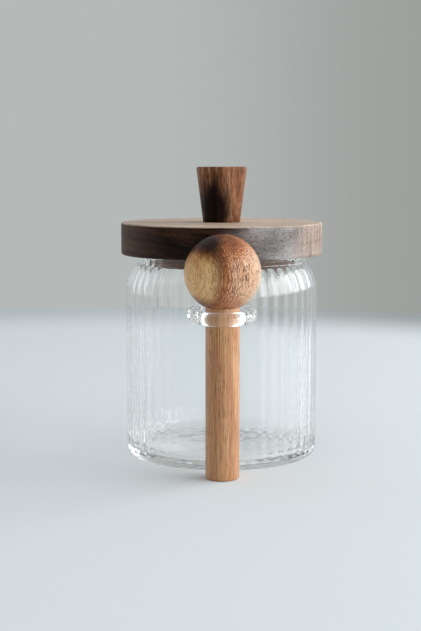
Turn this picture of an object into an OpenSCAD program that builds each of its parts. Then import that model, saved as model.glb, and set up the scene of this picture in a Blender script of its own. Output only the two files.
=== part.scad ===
// Fluted glass jam pot with a wooden lid and a ball-backed wooden spoon that stands in a glass loop.
// Millimetres, +Z up. The origin is the centre of the jar's base, and the spoon stands on the -Y side.

/* [Jar] */
// Outer diameter of the jar body, over the ribs
jar_d = 90.5; // [80:0.5:105]
// Height of the jar, from the table to the rim
jar_h = 95; // [85:1:130]
// Thickness of the glass in the body
jar_wall = 2.4; // [2:0.1:4]
// Thickness of the glass floor
floor_t = 4; // [3:0.5:8]
// Outer rounding between the wall and the base
heel_r = 3.5; // [2:0.5:6]
// Rounding of the cavity's bottom corner
inner_heel_r = 5; // [3:0.5:9]
// Radius of the shoulder's arc, seen from the side
shoulder_r = 22; // [16:0.5:30]
// How far the neck stands in from the body, all round
neck_inset = 5.25; // [4:0.25:8]
// Thickness of the glass in the neck
neck_wall = 2.8; // [2.2:0.1:4]
// Fillet where the shoulder turns up into the neck
neck_fillet_r = 2; // [1:0.5:4]
// Height of the hollow under the base
push_up = 0.8; // [0.4:0.1:2]
// Width of the ring that the jar stands on
stand_ring_w = 5; // [3:0.5:10]
// Number of vertical flutes round the body
flute_count = 48; // [24:4:72]
// Depth of each flute
flute_depth = 0.3; // [0.2:0.05:0.5]

/* [Spoon loop] */
// Diameter of the glass rod that is bent into the loop
loop_rod_d = 6; // [4:0.5:8]
// Gap all round between the handle and the loop
loop_clear = 0.7; // [0.4:0.1:2]
// Angle by which each arm of the loop opens towards the jar
loop_splay = 2; // [1:1:20]
// Diameter of the flared glass foot that fuses each arm to the jar
loop_foot_d = 9; // [6.6:0.2:11]
// Length over which an arm flares into its foot
loop_foot_l = 4; // [3:0.5:6]
// Depth of the loop's rod below the start of the shoulder
loop_below = 5.7; // [5:0.1:20]
// Length of handle that shows between the loop and the ball
loop_drop = 1.3; // [0.6:0.1:6]

/* [Lid] */
// How far the wooden plate stands out past the jar's body, all round
lid_overhang = 2.25; // [2:0.25:6]
// Thickness of the plate
lid_t = 15; // [10:0.5:20]
// Rounding of the plate's two edges
lid_edge_r = 0.9; // [0.4:0.1:2]
// Gap between the plug and the neck, which the silicone ring bridges
plug_gap = 2.6; // [1.5:0.1:5]
// Depth of the plug below the plate
plug_t = 5.5; // [4.5:0.5:9]
// Rounding of the plug's lower edge
plug_edge_r = 0.6; // [0.3:0.1:1]
// Gap between the jar's rim and the plate
rim_gap = 0.2; // [0.1:0.05:0.4]

/* [Seal] */
// Thickness of the silicone ring
seal_t = 1.4; // [1:0.1:2.5]
// Depth of the rebate that the ring sits in
seal_bite = 2; // [1:0.5:5]
// Play of the ring in its rebate
seal_play = 0.1; // [0.05:0.05:0.2]
// Play between the ring and the neck
seal_gap = 0.15; // [0.1:0.05:0.3]

/* [Knob] */
// Diameter across the knob's top
knob_top_d = 24; // [20:0.5:32]
// Diameter of the knob where it meets the plate
knob_base_d = 17.5; // [14:0.5:20]
// Height of the knob
knob_h = 26; // [20:1:40]
// Rounding of the knob's top edge
knob_edge_r = 0.9; // [0.4:0.1:2]
// Diameter of the dowel that joins knob, plate and plug
dowel_d = 8; // [6:0.5:10]
// Length of dowel inside the knob
dowel_in_knob = 12; // [8:1:16]
// Length of dowel inside the plug
dowel_in_plug = 3; // [2:0.5:3.5]
// Glue line round a dowel or tenon
glue_gap = 0.05; // [0.02:0.01:0.1]
// Air left at the blind end of a glued hole
blind_gap = 0.5; // [0.2:0.1:1]

/* [Spoon] */
// Diameter of the ball that the spoon's bowl is cut from
ball_d = 33.5; // [30:0.5:40]
// Gap between the handle and the lid's edge as the spoon is drawn up
lift_gap = 0.7; // [0.5:0.1:3]
// Gap between the bowl's mouth and the lid
mouth_gap = 1.5; // [1:0.1:6]
// Thickness of wood beside the hollow
bowl_wall = 4.75; // [3:0.25:6]
// Thickness of wood between the hollow and the handle's seat
bowl_floor = 5; // [4:0.5:7]
// Distance from the ball's centre to the hollow's centre, towards the mouth
hollow_offset = 3; // [1:0.5:4]
// Diameter of the handle
handle_d = 15; // [10:0.5:16]
// Rounding of the handle's foot
handle_edge_r = 1.2; // [0.5:0.1:2]
// Diameter of the tenon glued into the ball
tenon_d = 6; // [4:0.5:7]
// Thickness of wood left between the tenon's socket and the hollow
tenon_cover = 1.5; // [1:0.1:2]

/* [Hidden] */
$fn = 96;

glass = [0.86, 0.92, 0.93, 0.35];
dark_wood = [0.28, 0.18, 0.13];
knob_wood = [0.36, 0.22, 0.14];
ball_wood = [0.62, 0.40, 0.25];
handle_wood = [0.70, 0.48, 0.32];
dowel_wood = [0.85, 0.72, 0.52];
silicone = [0.92, 0.93, 0.92];

// An amount by which cutters run past the faces they cut
past = 1;
// The loop's arms are this much thinner than its bend, so that the two meet at a clean edge
weld_step = 0.05;

jar_r = jar_d / 2;
neck_r = jar_r - neck_inset;
neck_bore_r = neck_r - neck_wall;
rim_r = neck_wall / 2;
cavity_r = jar_r - jar_wall;

// The shoulder's arc has its centre inside the jar, where the straight wall ends
shoulder_x = jar_r - shoulder_r;
fillet_x = neck_r + neck_fillet_r;
shoulder_rise = sqrt(pow(shoulder_r + neck_fillet_r, 2) - pow(fillet_x - shoulder_x, 2));
rim_z = jar_h - rim_r;
fillet_z = rim_z - rim_r;
shoulder_z = fillet_z - shoulder_rise;
inner_shoulder_r = shoulder_r - jar_wall;
inner_neck_z = shoulder_z
    + sqrt(pow(inner_shoulder_r, 2) - pow(neck_bore_r - shoulder_x, 2));

// The hollow under the base is a flat cone that ends at the ring the jar stands on
push_r = jar_r - heel_r - stand_ring_w;

// A flute is a shallow arc between two neighbouring crests
flute_half_w = jar_r * sin(180 / flute_count);
flute_r = (pow(flute_half_w, 2) + pow(flute_depth, 2)) / (2 * flute_depth);

lid_r = jar_r + lid_overhang;
plug_r = neck_bore_r - plug_gap;
seal_inner_r = plug_r - seal_bite;
seal_outer_r = neck_bore_r - seal_gap;
rebate_t = seal_t + 2 * seal_play;
lid_z = jar_h + rim_gap;
lid_top_z = lid_z + lid_t;
dowel_r = dowel_d / 2;

ball_r = ball_d / 2;
handle_r = handle_d / 2;
tenon_r = tenon_d / 2;
spoon_y = -(lid_r + lift_gap + handle_r);

// The loop hangs from the shoulder's start, and the handle is as long as the loop is high
loop_rod_r = loop_rod_d / 2;
loop_r = handle_r + loop_clear + loop_rod_r;
loop_z = shoulder_z - loop_below;
handle_l = loop_z + loop_rod_r + loop_drop;

// The ball sits on the handle's end, its mouth clears the lid, and its hollow leaves a floor above that seat
mouth_offset = -spoon_y - lid_r - mouth_gap;
seat_drop = sqrt(pow(ball_r, 2) - pow(handle_r, 2));
ball_z = handle_l + seat_drop;
hollow_r = ball_r - bowl_wall;
hollow_lift = hollow_r + bowl_floor - seat_drop;
tenon_l = bowl_floor - tenon_cover - blind_gap;

loop_turn = 180 - 2 * loop_splay;
arm_start = [loop_r * cos(loop_splay), spoon_y - loop_r * sin(loop_splay)];
foot_x = arm_start[0] + tan(loop_splay) * (-arm_start[1] - jar_r);
foot_y = -sqrt(pow(jar_r, 2) - pow(foot_x, 2));

// A disc from z = 0 to z = h, with its two edges rounded as asked
module rounded_disc(r, h, low_edge = 0, high_edge = 0) {
    rotate_extrude() {
        difference() {
            square([r, h]);
            if (low_edge > 0) outside_corner(r, 0, low_edge, 1);
            if (high_edge > 0) outside_corner(r, h, high_edge, -1);
        }
    }
}

// What a rounding of radius e takes off the outer corner at (r, z)
// up is 1 for a lower corner and -1 for an upper one
module outside_corner(r, z, e, up) {
    difference() {
        translate([r - e, up > 0 ? z - past : z - e]) square([e + past, e + past]);
        translate([r - e, z + up * e]) circle(r = e);
    }
}

// Half section of the jar below its rim, as if it were solid glass
module jar_outline() {
    difference() {
        square([jar_r, shoulder_z]);
        outside_corner(jar_r, 0, heel_r, 1);
    }
    intersection() {
        translate([shoulder_x, shoulder_z]) circle(r = shoulder_r);
        translate([0, shoulder_z]) square([jar_r, fillet_z - shoulder_z]);
    }
    translate([0, shoulder_z]) square([shoulder_x, fillet_z - shoulder_z]);
    difference() {
        polygon([[0, shoulder_z], [shoulder_x, shoulder_z], [fillet_x, fillet_z], [0, fillet_z]]);
        translate([fillet_x, fillet_z]) circle(r = neck_fillet_r);
    }
    translate([0, fillet_z]) square([neck_r, rim_z - fillet_z]);
}

// Half section of the space inside the jar
module cavity_outline() {
    difference() {
        translate([0, floor_t]) square([cavity_r, shoulder_z - floor_t]);
        outside_corner(cavity_r, floor_t, inner_heel_r, 1);
    }
    intersection() {
        translate([shoulder_x, shoulder_z]) circle(r = inner_shoulder_r);
        translate([0, shoulder_z]) square([cavity_r, inner_neck_z - shoulder_z]);
    }
    translate([0, shoulder_z]) square([shoulder_x, inner_neck_z - shoulder_z]);
    translate([0, inner_neck_z]) square([neck_bore_r, rim_z - inner_neck_z + past]);
}

// Half section of the glass, with its rounded rim and the hollow under its base
module glass_section() {
    difference() {
        jar_outline();
        cavity_outline();
        polygon([[0, -past], [push_r * (1 + past / push_up), -past], [0, push_up]]);
    }
    translate([neck_bore_r + rim_r, rim_z]) circle(r = rim_r);
}

// Plan of the flutes, cut into a disc that is wider than the body, so that the crests keep its own wall
module fluted_plan() {
    difference() {
        circle(r = jar_r + past);
        for (i = [0 : flute_count - 1])
            rotate(i * 360 / flute_count)
                translate([jar_r + flute_r - flute_depth, 0]) circle(r = flute_r);
    }
}

module glass_jar() {
    color(glass)
        intersection() {
            rotate_extrude() glass_section();
            linear_extrude(jar_h) fluted_plan();
        }
}

// A glass rod bent round the handle, with two arms that flare where they are fused to the jar
module spoon_loop() {
    color(glass)
        difference() {
            translate([0, 0, loop_z]) {
                translate([0, spoon_y, 0])
                    rotate(180 + loop_splay)
                        rotate_extrude(angle = loop_turn)
                            translate([loop_r, 0]) circle(r = loop_rod_r);
                for (side = [-1, 1]) loop_arm(side);
            }
            intersection() {
                cylinder(r = jar_r, h = jar_h);
                linear_extrude(jar_h) fluted_plan();
            }
        }
}

module loop_arm(side) {
    arm_r = loop_rod_r - weld_step;
    reach = (foot_y - arm_start[1]) / cos(loop_splay);
    flare = (loop_foot_d / 2 - arm_r) / loop_foot_l;
    translate([side * arm_start[0], arm_start[1], 0])
        rotate(-side * loop_splay)
            rotate([-90, 0, 0]) {
                translate([0, 0, -loop_rod_r / 8]) cylinder(r = arm_r, h = reach + loop_rod_r);
                translate([0, 0, reach - loop_foot_l - past])
                    cylinder(r1 = arm_r - flare * past, r2 = arm_r + flare * (loop_foot_l + loop_rod_r),
                             h = loop_foot_l + loop_rod_r + past);
            }
}

module lid_plate() {
    color(dark_wood)
        translate([0, 0, lid_z])
            difference() {
                rounded_disc(lid_r, lid_t, lid_edge_r, lid_edge_r);
                translate([0, 0, -past]) cylinder(r = dowel_r + glue_gap, h = lid_t + 2 * past);
            }
}

module lid_plug() {
    color(dark_wood)
        translate([0, 0, lid_z - plug_t])
            difference() {
                rounded_disc(plug_r, plug_t, plug_edge_r);
                translate([0, 0, plug_t - rebate_t])
                    difference() {
                        cylinder(r = plug_r + past, h = rebate_t + past);
                        translate([0, 0, -past])
                            cylinder(r = seal_inner_r, h = rebate_t + 3 * past);
                    }
                translate([0, 0, plug_t - dowel_in_plug - blind_gap])
                    cylinder(r = dowel_r + glue_gap, h = dowel_in_plug + blind_gap + past);
            }
}

module lid_seal() {
    color(silicone)
        translate([0, 0, lid_z - rebate_t + seal_play])
            difference() {
                rounded_disc(seal_outer_r, seal_t, seal_t / 4, seal_t / 4);
                translate([0, 0, -past])
                    cylinder(r = seal_inner_r + seal_play, h = seal_t + 2 * past);
            }
}

module lid_knob() {
    slope = atan((knob_top_d - knob_base_d) / 2 / knob_h);
    round_z = knob_h - knob_edge_r;
    round_x = knob_top_d / 2 - knob_edge_r * (tan(slope) + 1 / cos(slope));
    color(knob_wood)
        translate([0, 0, lid_top_z])
            difference() {
                rotate_extrude() {
                    polygon([
                        [0, 0], [knob_base_d / 2, 0],
                        [round_x + knob_edge_r * cos(slope), round_z - knob_edge_r * sin(slope)],
                        [round_x, round_z], [round_x, knob_h], [0, knob_h]
                    ]);
                    translate([round_x, round_z]) circle(r = knob_edge_r);
                }
                translate([0, 0, -past])
                    cylinder(r = dowel_r + glue_gap, h = dowel_in_knob + blind_gap + past);
            }
}

module knob_dowel() {
    color(dowel_wood)
        translate([0, 0, lid_z - dowel_in_plug])
            cylinder(r = dowel_r, h = dowel_in_plug + lid_t + dowel_in_knob);
}

// A ball cut flat on the jar's side and hollowed from there, with a seat and socket for the handle below
module spoon_bowl() {
    color(ball_wood)
        translate([0, spoon_y, ball_z])
            difference() {
                rotate([90, 0, 0]) sphere(r = ball_r);
                translate([-ball_d, mouth_offset, -ball_d]) cube(2 * ball_d);
                translate([0, hollow_offset, hollow_lift])
                    rotate([90, 0, 0]) sphere(r = hollow_r);
                translate([0, 0, -ball_r - past])
                    cylinder(r = handle_r + past, h = ball_r + past - seat_drop);
                translate([0, 0, -seat_drop - past])
                    cylinder(r = tenon_r + glue_gap, h = tenon_l + blind_gap + past);
            }
}

module spoon_handle() {
    color(handle_wood)
        translate([0, spoon_y, 0]) {
            rounded_disc(handle_r, handle_l, handle_edge_r);
            translate([0, 0, handle_l - past]) cylinder(r = tenon_r, h = tenon_l + past);
        }
}

glass_jar();
spoon_loop();
lid_plate();
lid_plug();
lid_seal();
lid_knob();
knob_dowel();
spoon_bowl();
spoon_handle();
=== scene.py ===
import math

import bmesh
import bpy
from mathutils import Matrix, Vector


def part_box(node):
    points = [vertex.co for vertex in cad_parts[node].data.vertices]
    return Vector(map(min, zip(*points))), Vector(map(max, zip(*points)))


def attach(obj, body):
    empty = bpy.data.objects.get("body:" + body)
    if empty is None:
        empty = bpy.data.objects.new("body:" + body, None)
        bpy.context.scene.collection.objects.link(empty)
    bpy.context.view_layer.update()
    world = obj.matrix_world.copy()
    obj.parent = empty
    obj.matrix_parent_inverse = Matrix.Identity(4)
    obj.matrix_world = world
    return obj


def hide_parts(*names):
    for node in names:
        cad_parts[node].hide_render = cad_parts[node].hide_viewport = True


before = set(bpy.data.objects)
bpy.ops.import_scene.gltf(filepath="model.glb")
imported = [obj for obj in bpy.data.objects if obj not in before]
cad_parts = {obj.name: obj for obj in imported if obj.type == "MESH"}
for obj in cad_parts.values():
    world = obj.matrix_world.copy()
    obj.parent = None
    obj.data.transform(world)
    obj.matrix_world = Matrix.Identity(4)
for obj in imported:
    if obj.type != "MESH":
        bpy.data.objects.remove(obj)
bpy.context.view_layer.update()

MM = 0.001
TURN = 2 * math.pi
scene = bpy.context.scene
scene.view_settings.view_transform = "Standard"

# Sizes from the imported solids, in millimetres
def mm_box(node):
    """The two corners of a CAD node's box at rest."""
    low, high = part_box(node)
    return [v / MM for v in low], [v / MM for v in high]


lid_low, lid_high = mm_box("lid_plate")
plug_low, plug_high = mm_box("lid_plug")
seal_low, seal_high = mm_box("lid_seal")
knob_low, knob_high = mm_box("lid_knob")
bowl_low, bowl_high = mm_box("spoon_bowl")
handle_low, handle_high = mm_box("spoon_handle")

# The jar's radius goes to the crests of its flutes, which lie a little outside its box
JAR_R, JAR_H = 45.25, mm_box("glass_jar")[1][2]
LOOP_ROD_R, LOOP_CLEAR, LOOP_DROP = 3.0, 0.7, 1.3
LID_R = lid_high[0]
HANDLE_R = handle_high[0]
SPOON_Y = (handle_low[1] + handle_high[1]) / 2
BALL_R = SPOON_Y - bowl_low[1]
BALL_Z = bowl_high[2] - BALL_R
SEAT_Z = bowl_low[2]
MOUTH_Y = bowl_high[1]
LOOP_Z = SEAT_Z - (LOOP_ROD_R + LOOP_DROP)


# Mesh helpers
def arc(cx, cz, r, start, end, steps):
    """Points of an arc in a half section, from start to end in degrees."""
    out = []
    for i in range(steps + 1):
        a = math.radians(start + (end - start) * i / steps)
        out.append((cx + r * math.cos(a), cz + r * math.sin(a)))
    return out


def line(a, b, steps):
    """Points from a to b, without b."""
    return [tuple(p + (q - p) * i / steps for p, q in zip(a, b)) for i in range(steps)]


def add_piece(name, verts, faces, material, body, nodes, slot):
    """A smooth-shaded piece in millimetres that stands for CAD nodes and rides on a body."""
    mesh = bpy.data.meshes.new(name)
    mesh.from_pydata([[v * MM for v in p] for p in verts], [], faces)
    mesh.update()
    bm = bmesh.new()
    bm.from_mesh(mesh)
    bmesh.ops.recalc_face_normals(bm, faces=bm.faces)
    bm.to_mesh(mesh)
    bm.free()
    mesh.polygons.foreach_set("use_smooth", [True] * len(mesh.polygons))
    obj = bpy.data.objects.new(name, mesh)
    scene.collection.objects.link(obj)
    mesh.materials.append(material)
    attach(obj, body)
    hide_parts(*nodes)
    return obj


def skin(rings, cap_start=True, cap_end=True):
    """Vertices and quads between rings of equal length. A ring of one point is a pole."""
    verts, index = [], []
    for ring in rings:
        index.append(range(len(verts), len(verts) + len(ring)))
        verts.extend(ring)
    faces = []
    for a, b in zip(index, index[1:]):
        n = max(len(a), len(b))
        for i in range(n):
            j = (i + 1) % n
            if len(a) == 1:
                faces.append((a[0], b[j], b[i]))
            elif len(b) == 1:
                faces.append((a[i], a[j], b[0]))
            else:
                faces.append((a[i], a[j], b[j], b[i]))
    if cap_start and len(index[0]) > 1:
        faces.append(tuple(reversed(index[0])))
    if cap_end and len(index[-1]) > 1:
        faces.append(tuple(index[-1]))
    return verts, faces


def turned(profile, steps=192, centre=(0, 0)):
    """Rings of a turned piece from its half section of (radius, height) points."""
    rings = []
    for r, z in profile:
        if r < 1e-6:
            rings.append([(centre[0], centre[1], z)])
        else:
            rings.append([(centre[0] + r * math.cos(TURN * i / steps),
                           centre[1] + r * math.sin(TURN * i / steps), z) for i in range(steps)])
    return rings


# Shader helpers
def new_material(name):
    """A new material with its node tree and its Principled shader."""
    mat = bpy.data.materials.new(name)
    mat.use_nodes = True
    tree = mat.node_tree
    shader = next(n for n in tree.nodes if n.type == "BSDF_PRINCIPLED")
    return mat, tree, shader


def add(tree, kind, inputs=(), **settings):
    """A node, with its settings, and its inputs set to numbers or linked to sockets."""
    n = tree.nodes.new("ShaderNode" + kind)
    for key, value in settings.items():
        setattr(n, key, value)
    for key, value in dict(inputs).items():
        if isinstance(value, bpy.types.NodeSocket):
            tree.links.new(value, n.inputs[key])
        else:
            n.inputs[key].default_value = value
    return n


def calc(tree, operation, *values):
    n = add(tree, "Math", dict(enumerate(values)), operation=operation)
    return n.outputs[0]


def noise(tree, vector, detail, roughness=0.5, scale=1.0):
    n = add(tree, "TexNoise", {"Vector": vector, "Scale": scale, "Detail": detail, "Roughness": roughness})
    return n.outputs["Fac"]


def stretch(tree, vector, scale, location=(0, 0, 0), rotation=(0, 0, 0)):
    n = add(tree, "Mapping", {"Vector": vector, "Scale": scale, "Location": location,
                              "Rotation": [math.radians(a) for a in rotation]})
    return n.outputs[0]


def between(tree, value, low, high, to_low=0.0, to_high=1.0, smooth=True):
    """A value's way from low to high, clamped, as a number from to_low to to_high."""
    n = add(tree, "MapRange", {"Value": value, "From Min": low, "From Max": high,
                               "To Min": to_low, "To Max": to_high},
            interpolation_type="SMOOTHSTEP" if smooth else "LINEAR")
    return n.outputs[0]


def mix(tree, factor, a, b):
    n = add(tree, "Mix", data_type="RGBA", clamp_factor=True)
    for socket, value in ((n.inputs[0], factor), (n.inputs[6], a), (n.inputs[7], b)):
        if isinstance(value, bpy.types.NodeSocket):
            tree.links.new(value, socket)
        elif isinstance(value, (int, float)):
            socket.default_value = value
        else:
            socket.default_value = (*value, 1)
    return n.outputs[2]


def srgb(r, g, b):
    """A colour as it shows on the screen, from 0 to 255, as the linear values that shaders take."""
    def one(v):
        v /= 255
        return v / 12.92 if v <= 0.04045 else ((v + 0.055) / 1.055) ** 2.4
    return one(r), one(g), one(b)


MM_PER_M = (1000, 1000, 1000)


def object_mm(tree, location=(0, 0, 0)):
    """Object coordinates in millimetres."""
    return stretch(tree, add(tree, "TexCoord").outputs["Object"], MM_PER_M, location)


def grain_space(tree, rotation=(0, 0, 0), location=(0, 0, 0)):
    """Object coordinates in millimetres, turned so that the grain runs along Z."""
    coords = add(tree, "TexCoord").outputs["Object"]
    turned_coords = stretch(tree, coords, (1, 1, 1), rotation=rotation)
    return stretch(tree, turned_coords, MM_PER_M, location)


def vector_calc(tree, operation, a, b):
    return add(tree, "VectorMath", {0: a, 1: b}, operation=operation).outputs[0]


def axis(tree, vector, name):
    return add(tree, "SeparateXYZ", {0: vector}).outputs[name]


def bands(tree, value, scale, detail, roughness):
    """Uneven bands along one value, such as the distance from the pith."""
    n = add(tree, "TexNoise", {"W": value, "Scale": scale, "Detail": detail, "Roughness": roughness},
            noise_dimensions="1D")
    return n.outputs["Fac"]


class Grain:
    """What all the woods share: rings round a pith, fibres, pores and slow changes of tone.

    Wave is how far the rings wander, in millimetres. Ring, pore, pore_length and fibre are
    counts per millimetre, across the grain or along it, and dense adds to the share of pores.
    """

    def __init__(self, name, rotation=(0, 0, 0), location=(0, 0, 0), wave=3.0, ring=0.5,
                 pore=1.8, pore_length=0.25, fibre=(1.7, 0.05), dense=0.0):
        self.mat, self.tree, self.shader = new_material(name)
        tree = self.tree
        self.place = object_mm(tree)
        p = grain_space(tree, rotation, location)
        warp_at = stretch(tree, p, (0.045, 0.045, 0.012))
        warp = add(tree, "TexNoise", {"Vector": warp_at, "Scale": 1.0, "Detail": 2.0})
        centred = vector_calc(tree, "SUBTRACT", warp.outputs["Color"], (0.5, 0.5, 0.5))
        shift = vector_calc(tree, "MULTIPLY", centred, (wave * 2, wave * 2, 0))
        q = vector_calc(tree, "ADD", p, shift)
        flat = vector_calc(tree, "MULTIPLY", q, (1, 1, 0))
        radius = add(tree, "VectorMath", {0: flat}, operation="LENGTH").outputs["Value"]
        self.rings = bands(tree, radius, ring, 3.0, 0.6)
        self.fibre = noise(tree, stretch(tree, q, (fibre[0], fibre[0], fibre[1])), 4.0, 0.66)
        self.tone = noise(tree, stretch(tree, q, (0.10, 0.10, 0.016)), 3.0)
        long_pores = noise(tree, stretch(tree, q, (pore, pore, pore_length)), 1.0, 0.4)
        short_at = stretch(tree, q, (pore * 1.5, pore * 1.5, pore_length * 2.2), (31, 17, 5))
        short_pores = noise(tree, short_at, 1.0, 0.4)
        crowd = noise(tree, stretch(tree, q, (0.35, 0.35, 0.03), (7, 3, 9)), 2.0)
        crowd = calc(tree, "MULTIPLY_ADD", calc(tree, "SUBTRACT", crowd, 0.5), 0.24, dense)
        long_pores = between(tree, calc(tree, "ADD", long_pores, crowd), 0.60, 0.70)
        short_pores = between(tree, calc(tree, "ADD", short_pores, crowd), 0.62, 0.72)
        self.pores = calc(tree, "MAXIMUM", long_pores, short_pores)

    def about(self, part, weight):
        """A layer as an amount above and below zero."""
        return calc(self.tree, "MULTIPLY", calc(self.tree, "SUBTRACT", part, 0.5), weight)

    def level(self, tone, rings, fibre):
        """One value from dark to light, about 0 to 1, from the shared layers."""
        tree = self.tree
        slow = calc(tree, "ADD", self.about(self.tone, tone * 2), self.about(self.rings, rings * 2))
        return calc(tree, "ADD", slow, calc(tree, "ADD", self.about(self.fibre, fibre * 2), 0.5))

    def shades(self, level, dark, mid, light):
        """The colour at a level, from dark over mid to light."""
        tree = self.tree
        lower = mix(tree, between(tree, level, 0.05, 0.5, smooth=False), dark, mid)
        return mix(tree, between(tree, level, 0.5, 0.95, smooth=False), lower, light)

    def blob(self, centre, size, ragged):
        """Distance from a centre in X and Z, in units of size, with an edge drawn out along Z."""
        tree = self.tree
        u = calc(tree, "DIVIDE", calc(tree, "SUBTRACT", axis(tree, self.place, "X"), centre[0]), size[0])
        w = calc(tree, "DIVIDE", calc(tree, "SUBTRACT", axis(tree, self.place, "Z"), centre[1]), size[1])
        squares = calc(tree, "ADD", calc(tree, "MULTIPLY", u, u), calc(tree, "MULTIPLY", w, w))
        far = calc(tree, "SQRT", squares)
        spikes = noise(tree, stretch(tree, self.place, (0.42, 0.42, 0.04), (3, 8, 0)), 3.0, 0.55)
        return calc(tree, "ADD", far, self.about(spikes, ragged))

    def finish(self, colour, pore_colour, pore_depth, rough=0.4, relief=0.25, shine=0.4, dust=0.2):
        """Pores, sheen, roughness and relief on top of a colour. Returns the material."""
        tree, shader = self.tree, self.shader
        shader.inputs["Specular IOR Level"].default_value = shine
        shader.inputs["Sheen Weight"].default_value = dust
        shader.inputs["Sheen Roughness"].default_value = 0.35
        shader.inputs["Sheen Tint"].default_value = (1.0, 0.92, 0.84, 1)
        colour = mix(tree, calc(tree, "MULTIPLY", self.pores, pore_depth), colour, pore_colour)
        tree.links.new(colour, shader.inputs["Base Color"])
        gloss = calc(tree, "ADD", calc(tree, "MULTIPLY", self.fibre, 0.14), rough - 0.07)
        gloss = calc(tree, "ADD", gloss, calc(tree, "MULTIPLY", self.pores, 0.15))
        tree.links.new(gloss, shader.inputs["Roughness"])
        height = calc(tree, "SUBTRACT", calc(tree, "MULTIPLY", self.fibre, 0.6), self.pores)
        bump = add(tree, "Bump", {"Height": height, "Strength": relief, "Distance": 0.00015})
        tree.links.new(bump.outputs[0], shader.inputs["Normal"])
        return self.mat


def lid_material():
    """Dark wood with its grain along X, brown at the left end, with painted sheen on the right side and the
    top: a grey band, a pale end that is partly the wood's own lighter tone, and a light top.
    """
    g = Grain("lid_wood", rotation=(0, 90, 0), location=(34, 9, 0), wave=5, ring=0.4,
              pore=1.5, pore_length=0.2)
    t = g.tree
    x, z = axis(t, g.place, "X"), axis(t, g.place, "Z")
    upright = noise(t, stretch(t, g.place, (0.5, 0.5, 0.03)), 3.0, 0.6)
    along = calc(t, "ADD", calc(t, "ADD", x, g.about(g.tone, 40)), g.about(g.fibre, 14))
    colour = g.shades(g.level(0.7, 0.5, 0.6), srgb(13, 6, 3), srgb(34, 18, 10), srgb(82, 50, 32))
    ends = calc(t, "ADD", g.level(0.3, 0.25, 0.4), g.about(upright, 0.9))
    # Pale right end: partly the wood's own lighter tone, partly painted sheen
    pale = g.shades(ends, srgb(124, 103, 92), srgb(171, 149, 136), srgb(212, 195, 182))
    # Painted sheen: a grey band on the right side, where the window's sheen falls
    right_sheen_painted = g.shades(g.level(0.4, 0.25, 0.25), srgb(130, 125, 123), srgb(176, 171, 169), srgb(208, 203, 199))
    brown = g.shades(g.level(0.5, 0.4, 0.5), srgb(58, 34, 22), srgb(98, 64, 45), srgb(134, 96, 70))
    colour = mix(t, between(t, along, -24, -50, 0.0, 0.7), colour, brown)
    # Painted sheen: the right side turns to the grey band and then to the pale end
    colour = mix(t, between(t, along, -2, 36), colour, mix(t, between(t, x, 25, 42), right_sheen_painted, pale))
    # Painted sheen: the top is painted light, as it looks where light grazes it
    top_sheen_painted = g.shades(g.level(0.6, 0.5, 0.5), srgb(168, 142, 122), srgb(215, 189, 167), srgb(239, 217, 195))
    top = between(t, z, lid_high[2] - 0.9, lid_high[2] - 0.1, 0.0, 0.95)
    colour = mix(t, top, colour, top_sheen_painted)
    return g.finish(colour, srgb(14, 7, 4), 0.5, rough=0.42, shine=0.14, dust=0.0)


def plug_material():
    """Plain brown wood, grain along X."""
    g = Grain("plug_wood", rotation=(0, 90, 0), location=(34, 20, 0), wave=4, ring=0.5)
    colour = g.shades(g.level(0.6, 0.5, 0.5), srgb(56, 30, 17), srgb(94, 56, 36), srgb(130, 84, 55))
    return g.finish(colour, srgb(36, 18, 9), 0.5)


def knob_material():
    """Brown wood, grain along Z, with a dark patch low on its left side that is partly dark heartwood and
    partly painted shade of that side.
    """
    g = Grain("knob_wood", location=(-24, 16, 0), wave=3, ring=0.5, pore=1.6, pore_length=0.2)
    t = g.tree
    # Dark patch: partly dark heartwood, partly painted shade on the shaded left side
    far = g.blob((-4.0, knob_low[2] + 6), (9.5, 16), 0.9)
    dark_patch_and_shade = between(t, far, 1.3, 0.45)
    colour = g.shades(g.level(0.6, 0.5, 0.5), srgb(86, 47, 26), srgb(158, 106, 74), srgb(220, 176, 142))
    dark = g.shades(g.level(0.7, 0.5, 0.4), srgb(11, 5, 3), srgb(26, 12, 6), srgb(56, 29, 14))
    return g.finish(mix(t, dark_patch_and_shade, colour, dark), srgb(16, 8, 4), 0.5, rough=0.4, shine=0.12, dust=0.0)


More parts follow.
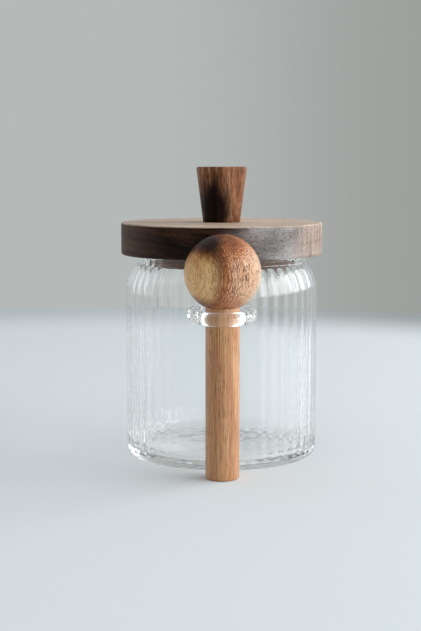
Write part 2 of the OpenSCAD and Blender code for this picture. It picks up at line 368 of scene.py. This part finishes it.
def bowl_material():
    """Red-brown heartwood and golden sapwood, grain along Z, with a dark stain at the top of their seam."""
    g = Grain("bowl_wood", location=(-44, -SPOON_Y - 30, 0), wave=2.0, ring=2.0,
              pore=2.2, pore_length=0.42, fibre=(1.6, 0.12), dense=0.045)
    t = g.tree
    local = object_mm(t, (0, -SPOON_Y, -BALL_Z))
    x, z = axis(t, local, "X"), axis(t, local, "Z")
    # Millimetres into the sapwood, from a wavering seam
    wobble = calc(t, "ADD", g.about(g.fibre, 2.6), g.about(g.tone, 5))
    to_sap = {0: local, 1: (-0.78, -0.62, -0.03)}
    side = add(t, "VectorMath", to_sap, operation="DOT_PRODUCT").outputs["Value"]
    side = calc(t, "ADD", calc(t, "SUBTRACT", side, 12.8), wobble)
    sap = between(t, side, -2.8, 2.2)
    # The heartwood is painted lighter and paler on the right, as painted light where the highlight sits, and
    # is darker at the top and next to the seam
    lit_right_and_tone = calc(t, "MULTIPLY", calc(t, "ADD", calc(t, "MULTIPLY", z, 0.0012), 0.008), z)
    # Painted light: lighter towards the right, the lit side
    lit_right_and_tone = calc(t, "SUBTRACT", calc(t, "ADD", calc(t, "MULTIPLY", x, 0.011), 0.12), lit_right_and_tone)
    lit_right_and_tone = calc(t, "SUBTRACT", lit_right_and_tone, between(t, side, -9, -1.5, 0.0, 0.26))
    heart = g.shades(calc(t, "ADD", g.level(0.4, 0.55, 0.5), lit_right_and_tone),
                     srgb(106, 50, 25), srgb(202, 127, 80), srgb(243, 208, 174))
    # The sapwood is palest a little below the middle
    off = calc(t, "DIVIDE", calc(t, "ADD", z, 3.5), 15)
    off = calc(t, "MULTIPLY", calc(t, "MULTIPLY", off, off), 0.55)
    pale = g.shades(calc(t, "SUBTRACT", g.level(0.4, 0.4, 0.55), off),
                    srgb(202, 132, 66), srgb(250, 207, 146), srgb(254, 232, 190))
    far = g.blob((-6.0, BALL_Z + 12.9), (4.2, 3.6), 1.7)
    pale = mix(t, between(t, far, 2.3, 0.9), pale, srgb(176, 100, 38))
    colour = mix(t, sap, heart, pale)
    # The stain at the top runs down the seam and gets weaker
    near = calc(t, "DIVIDE", calc(t, "ADD", side, 1.2), 1.9)
    seam = calc(t, "EXPONENT", calc(t, "MULTIPLY", calc(t, "MULTIPLY", near, near), -1.0))
    seam = calc(t, "MULTIPLY", seam, between(t, z, -8, 11, 0.15, 0.65))
    stain = calc(t, "MAXIMUM", between(t, far, 2.1, 0.5, 0.0, 0.95), seam)
    stain_colour = srgb(40, 17, 8)
    colour = mix(t, stain, colour, stain_colour)
    pore_colour = mix(t, sap, srgb(54, 20, 9), srgb(210, 152, 92))
    pore_colour = mix(t, stain, pore_colour, stain_colour)
    return g.finish(colour, pore_colour, 0.78, rough=0.3, relief=0.4, shine=0.25, dust=0.0)


def handle_material():
    """Straight, even, tan wood with short brown pores along Z."""
    g = Grain("handle_wood", location=(38, -SPOON_Y - 34, 0), wave=1.5, ring=0.9, pore=1.9, pore_length=0.15)
    colour = g.shades(g.level(0.35, 0.35, 0.75), srgb(158, 100, 58), srgb(204, 148, 102), srgb(232, 184, 140))
    return g.finish(colour, srgb(132, 78, 42), 0.55, rough=0.34, shine=0.55, dust=0.05)


def dowel_material():
    """Plain pale wood, grain along Z."""
    g = Grain("dowel_wood", location=(20, 12, 0), ring=0.6)
    colour = g.shades(g.level(0.4, 0.4, 0.5), srgb(176, 136, 92), srgb(210, 174, 128), srgb(226, 196, 152))
    return g.finish(colour, srgb(150, 110, 70), 0.4)


def glass(name):
    """Clear glass that lets light from the lamps and the room through to what is behind it."""
    mat, tree, shader = new_material(name)
    shader.inputs["Base Color"].default_value = (0.992, 0.998, 0.996, 1)
    shader.inputs["Roughness"].default_value = 0.0
    shader.inputs["IOR"].default_value = 1.47
    shader.inputs["Transmission Weight"].default_value = 1.0
    clear = add(tree, "BsdfTransparent", {"Color": (0.995, 0.998, 0.998, 1)})
    path = add(tree, "LightPath")
    surface = shader.outputs[0]
    for ray in ("Is Diffuse Ray", "Is Shadow Ray"):
        mixed = add(tree, "MixShader", {0: path.outputs[ray], 1: surface, 2: clear.outputs[0]})
        surface = mixed.outputs[0]
    out = next(n for n in tree.nodes if n.type == "OUTPUT_MATERIAL")
    tree.links.new(surface, out.inputs["Surface"])
    return mat


jar_glass = glass("jar_glass")
loop_glass = glass("loop_glass")
lid_wood = lid_material()
plug_wood = plug_material()
knob_wood = knob_material()
bowl_wood = bowl_material()
handle_wood = handle_material()
dowel_wood = dowel_material()

silicone, tree, shader = new_material("silicone")
tone = noise(tree, grain_space(tree), 3.0, scale=0.4)
tree.links.new(mix(tree, tone, srgb(214, 216, 214), srgb(232, 233, 231)), shader.inputs["Base Color"])
shader.inputs["Roughness"].default_value = 0.42
shader.inputs["Subsurface Weight"].default_value = 0.3
shader.inputs["Subsurface Radius"].default_value = (0.001, 0.001, 0.001)


# The jar: one closed skin, outside and inside, with soft ribs that run over the shoulder
FLUTES, PER_FLUTE = 48, 12
OUT_RIB, IN_RIB = 0.42, 0.14
STEPS = FLUTES * PER_FLUTE
WALL, FLOOR, NECK_R, NECK_WALL = 2.4, 4.0, 40.0, 2.8
SHOULDER_R, HEEL_R, IN_HEEL_R, FILLET_R = 22.0, 3.5, 5.0, 2.0
FOOT_W, PUSH_UP = 5, 0.8
RIM_R = NECK_WALL / 2
RIM_Z = JAR_H - RIM_R
FILLET_Z = RIM_Z - RIM_R
SHOULDER_X = JAR_R - SHOULDER_R
SHOULDER_Z = FILLET_Z - math.sqrt((SHOULDER_R + FILLET_R) ** 2 - (NECK_R + FILLET_R - SHOULDER_X) ** 2)
LEAN = math.degrees(math.atan2(FILLET_Z - SHOULDER_Z, NECK_R + FILLET_R - SHOULDER_X))
BORE_R = NECK_R - NECK_WALL
IN_R = JAR_R - WALL
# The inner shoulder ends at this angle and bends into the straight bore
IN_LEAN = 41
BORE_Z, BEND_Z = SHOULDER_Z + 14.6, SHOULDER_Z + 13.76
RIPPLE_H = 4


def step(v, low, high):
    """A smooth step from 0 to 1 between low and high."""
    t = min(1, max(0, (v - low) / (high - low)))
    return t * t * (3 - 2 * t)


def floor_ripple(x, y, z):
    """Height of the soft waves in the glass floor, which fade out up the wall."""
    wave = 0.05 * math.sin(0.30 * x + 0.9) * math.cos(0.26 * y + 0.4) + 0.02 * math.sin(0.5 * y - 0.3 * x)
    return wave * (1 - step(z, FLOOR, FLOOR + RIPPLE_H))


def rib(a, z, outside):
    """Change of radius at an angle and a height, for ribs that differ a little, as if made by hand."""
    sway, jitter = 0.25, 0.20
    hand = 1 + sway * math.sin(5 * a + 0.8) + jitter * math.sin(13 * a + 2.1 + 0.01 * z)
    hand_max = 1 + sway + jitter
    if outside:
        return -OUT_RIB * (0.5 - 0.5 * math.cos(FLUTES * a)) * hand / hand_max
    return IN_RIB * math.cos(FLUTES * a + 0.6) * hand / hand_max


def jar_rings():
    push_r = JAR_R - HEEL_R - FOOT_W
    outer = line((0, PUSH_UP), (push_r, 0), 24) + line((push_r, 0), (JAR_R - HEEL_R, 0), 3)
    outer += arc(JAR_R - HEEL_R, HEEL_R, HEEL_R, -90, 0, 10)[:-1]
    outer += line((JAR_R, HEEL_R), (JAR_R, SHOULDER_Z), 16)
    outer += arc(SHOULDER_X, SHOULDER_Z, SHOULDER_R, 0, LEAN, 18)[:-1]
    outer += arc(NECK_R + FILLET_R, FILLET_Z, FILLET_R, 180 + LEAN, 180, 8)[:-1]
    outer += line((NECK_R, FILLET_Z), (NECK_R, RIM_Z), 2)
    outer += arc(NECK_R - RIM_R, RIM_Z, RIM_R, 0, 90, 8)
    inner = arc(NECK_R - RIM_R, RIM_Z, RIM_R, 90, 180, 8)[1:-1]
    shoulder = arc(SHOULDER_X, SHOULDER_Z, SHOULDER_R - WALL, IN_LEAN, 0, 16)
    inner += line((BORE_R, RIM_Z), (BORE_R, BORE_Z), 4)
    for i in range(5):
        t = i / 5
        inner.append(tuple((1 - t) ** 2 * p + 2 * t * (1 - t) * c + t * t * q for p, c, q in
                           zip((BORE_R, BORE_Z), (BORE_R, BEND_Z), shoulder[0])))
    inner += shoulder[:-1]
    inner += line((IN_R, SHOULDER_Z), (IN_R, FLOOR + IN_HEEL_R), 16)
    inner += arc(IN_R - IN_HEEL_R, FLOOR + IN_HEEL_R, IN_HEEL_R, 0, -90, 10)[:-1]
    inner += line((IN_R - IN_HEEL_R, FLOOR), (0, FLOOR), 28) + [(0, FLOOR)]
    rings = []
    for outside, profile in ((True, outer), (False, inner)):
        for r, z in profile:
            if r < 1e-6:
                rings.append([(0, 0, z)])
                continue
            # The ribs start above the foot, weaken towards the rim and leave the floor out
            fade = step(z, 0.6, 9) * (1 - 0.75 * step(z, SHOULDER_Z + 10, RIM_Z - 0.4)) * step(r, 30, 36)
            rippled = not outside and z < FLOOR + RIPPLE_H
            ring = []
            for i in range(STEPS):
                a = TURN * i / STEPS
                rr = r + rib(a, z, outside) * fade
                x, y = rr * math.cos(a), rr * math.sin(a)
                ring.append((x, y, z + floor_ripple(x, y, z) if rippled else z))
            rings.append(ring)
    return rings


add_piece("jar_glass", *skin(jar_rings()), jar_glass, "jar", ["glass_jar"], "clear_glass")


# The loop: a bent glass rod whose two ends swell where they are fused to the jar
SPLAY = math.radians(2)
ARM_STEP, ARM_SINK = 0.35, 0.5
SWELL, SWELL_REACH = 0.9, 1.1


def loop_rings():
    bend_r, bend_steps, rod_steps = HANDLE_R + LOOP_CLEAR + LOOP_ROD_R, 64, 36
    path = []
    for i in range(bend_steps + 1):
        a = math.pi + SPLAY + (math.pi - 2 * SPLAY) * i / bend_steps
        path.append((bend_r * math.cos(a), SPOON_Y + bend_r * math.sin(a)))
    x, y = end = path[-1]
    arm = []
    reach = 0.0
    while math.hypot(x, y) >= JAR_R - ARM_SINK:
        reach += ARM_STEP
        x, y = end[0] + reach * math.sin(SPLAY), end[1] + reach * math.cos(SPLAY)
        arm.append((x, y))
    path = [(-x, y) for x, y in reversed(arm)] + path + arm
    rings = []
    for i, (x, y) in enumerate(path):
        x0, y0 = path[max(i - 1, 0)]
        x1, y1 = path[min(i + 1, len(path) - 1)]
        t = math.hypot(x1 - x0, y1 - y0)
        sx, sy = (y1 - y0) / t, -(x1 - x0) / t
        gap = math.hypot(x, y) - JAR_R
        swell = SWELL * math.exp(-((max(gap, 0) / SWELL_REACH) ** 2))
        r = LOOP_ROD_R + swell + 0.05 * math.sin(i * 0.21)
        rings.append([(x + r * math.cos(b) * sx, y + r * math.cos(b) * sy, LOOP_Z + r * math.sin(b))
                      for b in (TURN * k / rod_steps for k in range(rod_steps))])
    return rings


add_piece("loop_glass", *skin(loop_rings()), loop_glass, "jar", ["spoon_loop"], "clear_glass")

# The lid: plate, plug with its ring, and knob. The ring lies in a rebate at the top of the plug
LID_EDGE, PLUG_EDGE, SEAL_EDGE, KNOB_EDGE = 0.9, 0.6, 0.45, 0.9
REBATE_W, REBATE_H, SEAL_GAP = 2, 1.6, 0.1
KNOB_TOP_R, KNOB_BASE_R = 12.0, 8.75

edge = LID_EDGE
z0, z1 = lid_low[2], lid_high[2]
profile = [(0, z0), (20, z0), (LID_R - 6, z0)] + arc(LID_R - edge, z0 + edge, edge, -90, 0, 8)
profile += line((LID_R, z0 + edge), (LID_R, z1 - edge), 6)[1:] + arc(LID_R - edge, z1 - edge, edge, 0, 90, 8)
profile += [(LID_R - 6, z1), (20, z1), (0, z1)]
add_piece("lid_board", *skin(turned(profile, 256)), lid_wood, "lid", ["lid_plate"], "lid_wood")

r, edge = plug_high[0], PLUG_EDGE
z0, z1 = plug_low[2], plug_high[2]
bite = r - REBATE_W
step_z = z1 - REBATE_H
profile = [(0, z0), (r - 5, z0)] + arc(r - edge, z0 + edge, edge, -90, 0, 6)
profile += [(r, step_z - 0.15), (r - 0.15, step_z), (bite, step_z), (bite, z1), (0, z1)]
add_piece("plug_board", *skin(turned(profile)), plug_wood, "lid", ["lid_plug"], "lid_wood")

r, edge = seal_high[0], SEAL_EDGE
z0, z1 = seal_low[2], seal_high[2]
bore = bite + SEAL_GAP
profile = [(bore, z0)] + arc(r - edge, z0 + edge, edge, -90, 0, 6)
profile += arc(r - edge, z1 - edge, edge, 0, 90, 6) + [(bore, z1)]
rings = turned(profile)
verts, faces = skin(rings, False, False)
n = len(rings[0])
last = len(verts) - n
faces += [(last + i, last + (i + 1) % n, (i + 1) % n, i) for i in range(n)]
add_piece("seal_ring", verts, faces, silicone, "seal", ["lid_seal"], "silicone")

z0, z1, edge = knob_low[2], knob_high[2], KNOB_EDGE
lean = math.atan2(KNOB_TOP_R - KNOB_BASE_R, z1 - z0)
cx = KNOB_TOP_R - edge * (math.tan(lean) + 1 / math.cos(lean))
top_arc = arc(cx, z1 - edge, edge, -math.degrees(lean), 90, 8)
profile = [(0, z0)] + line((KNOB_BASE_R, z0), top_arc[0], 10) + top_arc + [(cx - 4, z1), (0, z1)]
add_piece("knob_cone", *skin(turned(profile, 128)), knob_wood, "lid", ["lid_knob"], "knob_wood")
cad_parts["knob_dowel"].data.materials.clear()
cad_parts["knob_dowel"].data.materials.append(dowel_wood)


# The spoon: a ball cut flat towards the jar and hollowed from there, on a straight round handle
BOWL_WALL, BOWL_FLOOR, HOLLOW_SHIFT = 4.75, 5, 3
BALL_STEPS, HOLLOW_STEPS, BOWL_AROUND = 60, 40, 160
# The flat lip, from its outer edge to its inner one: the way across and the depth below the mouth
LIP = ((0.0, -0.12), (0.15, -0.03), (0.35, 0.0), (0.65, 0.0), (0.85, -0.03), (1.0, -0.15))
LIP_OUT, LIP_IN, LIP_ANGLE = 0.15, 0.25, 2


def bowl_ring(y, r, up):
    """A ring about the ball's axis towards the jar, or its one point where the radius is 0."""
    if r == 0:
        return [(0, SPOON_Y + y, BALL_Z + up)]
    turns = (TURN * i / BOWL_AROUND for i in range(BOWL_AROUND))
    return [(r * math.cos(a), SPOON_Y + y, BALL_Z + up + r * math.sin(a)) for a in turns]


def bowl_rings():
    mouth = MOUTH_Y - SPOON_Y
    hollow_r = BALL_R - BOWL_WALL
    lift = hollow_r + BOWL_FLOOR - (BALL_Z - SEAT_Z)
    out_r = math.sqrt(BALL_R ** 2 - mouth ** 2) - LIP_OUT
    in_r = math.sqrt(hollow_r ** 2 - (mouth - HOLLOW_SHIFT) ** 2) + LIP_IN
    rings = [bowl_ring(-BALL_R, 0, 0)]
    end = math.degrees(math.asin(mouth / BALL_R)) - LIP_ANGLE
    for i in range(1, BALL_STEPS + 1):
        a = math.radians(-90 + (end + 90) * i / BALL_STEPS)
        rings.append(bowl_ring(BALL_R * math.sin(a), BALL_R * math.cos(a), 0))
    for t, y in LIP:
        rings.append(bowl_ring(mouth + y, out_r + (in_r - out_r) * t, lift * t))
    start = math.degrees(math.asin((mouth - HOLLOW_SHIFT) / hollow_r)) - LIP_ANGLE
    for i in range(HOLLOW_STEPS):
        a = math.radians(start - (start + 90) * i / HOLLOW_STEPS)
        rings.append(bowl_ring(HOLLOW_SHIFT + hollow_r * math.sin(a), hollow_r * math.cos(a), lift))
    rings.append(bowl_ring(HOLLOW_SHIFT - hollow_r, 0, lift))
    return rings


def bowl_piece():
    """The hollowed ball, cut off level where it sits on the handle."""
    obj = add_piece("bowl_ball", *skin(bowl_rings()), bowl_wood, "spoon", ["spoon_bowl"], "bowl_wood")
    bm = bmesh.new()
    bm.from_mesh(obj.data)
    cut = bmesh.ops.bisect_plane(bm, geom=bm.verts[:] + bm.edges[:] + bm.faces[:], dist=1e-7,
                                 plane_co=(0, 0, SEAT_Z * MM), plane_no=(0, 0, -1), clear_outer=True)
    rim = [e for e in cut["geom_cut"] if isinstance(e, bmesh.types.BMEdge)]
    bmesh.ops.holes_fill(bm, edges=rim)
    bmesh.ops.recalc_face_normals(bm, faces=bm.faces)
    bm.to_mesh(obj.data)
    bm.free()
    obj.data.polygons.foreach_set("use_smooth", [len(p.vertices) < 5 for p in obj.data.polygons])


bowl_piece()

HANDLE_EDGE, NICK = 1.2, 0.25
top, edge = SEAT_Z, HANDLE_EDGE
profile = [(0, 0), (HANDLE_R - 3, 0)] + arc(HANDLE_R - edge, edge, edge, -90, 0, 8)
profile += line((HANDLE_R, edge), (HANDLE_R, top - NICK), 24)[1:]
profile += [(HANDLE_R, top - NICK), (HANDLE_R - 0.07, top - 0.07), (HANDLE_R - NICK, top), (0, top)]
add_piece("handle_rod", *skin(turned(profile, 96, (0, SPOON_Y))), handle_wood, "spoon", ["spoon_handle"],
          "handle_wood")

# Stage: a round pale table top whose rim fades towards the grey behind it, in metres. That grey is painted
# darker towards the right, as painted shade.
# It is glossy only where something mirrors it, so that it doesn't glare when seen against the light
TABLE_R, TABLE_X, TABLE_RINGS = 0.62, -0.08, 12
rings = turned([(TABLE_R * k / TABLE_RINGS, 0.0) for k in range(TABLE_RINGS + 1)], 128)
verts, faces = skin(rings, False, False)
mesh = bpy.data.meshes.new("table")
mesh.from_pydata(verts, [], faces)
table = bpy.data.objects.new("table", mesh)
scene.collection.objects.link(table)
table.location = (TABLE_X, 0, 0)
mat, tree, shader = new_material("table")
spot = add(tree, "TexCoord").outputs["Object"]
out_to = add(tree, "VectorMath", {0: spot}, operation="LENGTH").outputs["Value"]
rim = between(tree, out_to, 0.44, 0.61)
# Painted shade: the rim's grey is darker towards the right
rim_grey_painted_shade = mix(tree, between(tree, axis(tree, spot, "X"), 0.0, 0.3), srgb(207, 213, 215), srgb(167, 171, 170))
tree.links.new(mix(tree, rim, srgb(234, 239, 241), rim_grey_painted_shade), shader.inputs["Base Color"])
shader.inputs["Roughness"].default_value = 0.12
path = add(tree, "LightPath").outputs
mirrored = calc(tree, "SUBTRACT", path["Is Glossy Ray"], path["Is Transmission Ray"])
tree.links.new(between(tree, mirrored, 0, 1, 0.0, 1.0), shader.inputs["Specular IOR Level"])
mesh.materials.append(mat)

# Room: dim in front and on the left as a light, and a grey where it is seen, directly or through glass,
# painted darker towards the right as painted shade
world = bpy.data.worlds.new("room")
scene.world = world
world.use_nodes = True
tree = world.node_tree
background = next(n for n in tree.nodes if n.type == "BACKGROUND")
toward = add(tree, "TexCoord").outputs["Generated"]
across, away = axis(tree, toward, "X"), axis(tree, toward, "Y")
bright_side = calc(tree, "ADD", calc(tree, "MULTIPLY", across, 0.6), calc(tree, "MULTIPLY", away, 0.8))
room = between(tree, bright_side, -0.7, 0.6, 0.12, 0.46)
path = add(tree, "LightPath").outputs
room = calc(tree, "ADD", room, calc(tree, "MULTIPLY", path["Is Diffuse Ray"], 0.1))
seen = calc(tree, "MAXIMUM", path["Is Camera Ray"], path["Is Transmission Ray"])
# Painted shade: the backdrop grey is darker towards the right
grey = mix(tree, between(tree, across, -0.06, 0.17), srgb(181, 185, 184), srgb(157, 160, 157))
tree.links.new(mix(tree, seen, (0.94, 0.98, 1.0), grey), background.inputs["Color"])
shown = between(tree, path["Is Transmission Ray"], 0, 1, 1.0, 1.18)
tree.links.new(between(tree, seen, 0, 1, room, shown), background.inputs["Strength"])


def area_light(name, place, target, width, height, watts, colour):
    """A soft rectangular lamp at a place, turned towards a target."""
    data = bpy.data.lights.new(name, "AREA")
    data.shape, data.size, data.size_y = "RECTANGLE", width, height
    data.energy, data.color = watts, colour
    obj = bpy.data.objects.new(name, data)
    obj.location = place
    obj.rotation_mode = "QUATERNION"
    obj.rotation_quaternion = (Vector(target) - Vector(place)).to_track_quat("-Z", "Y")
    scene.collection.objects.link(obj)


WINDOW, PANEL = (0.96, 0.98, 1.0), (0.97, 0.99, 1.0)
area_light("window_back", (1.42, 0.45, 0.62), (0, 0, 0.08), 1.45, 1.0, 15.2, WINDOW)
area_light("window_front", (1.38, -0.44, 0.56), (0, 0, 0.08), 0.8, 0.9, 7.4, WINDOW)
area_light("panel_right", (1.2, -0.95, 0.5), (0, 0, 0.08), 1.2, 0.9, 5.9, PANEL)
area_light("panel_left", (-1.5, 0.4, 0.42), (0, 0, 0.07), 1.4, 0.9, 3.2, PANEL)
area_light("panel_top", (0.2, -0.6, 1.6), (0, 0.05, 0), 2.2, 1.8, 4.4, PANEL)

# Camera, from the photograph's perspective
data = bpy.data.cameras.new("camera")
data.sensor_fit = "AUTO"
data.sensor_width = 36
data.lens = 74.2
camera = bpy.data.objects.new("camera", data)
camera.location = (-0.00525, -0.617, 0.1387)
LOOK_DOWN = 6.76
camera.rotation_euler = (math.radians(90 - LOOK_DOWN), 0, 0)
scene.collection.objects.link(camera)
scene.camera = camera

# Clear glass needs long light paths
scene.cycles.max_bounces = 32
scene.cycles.transmission_bounces = 32
scene.cycles.glossy_bounces = 32
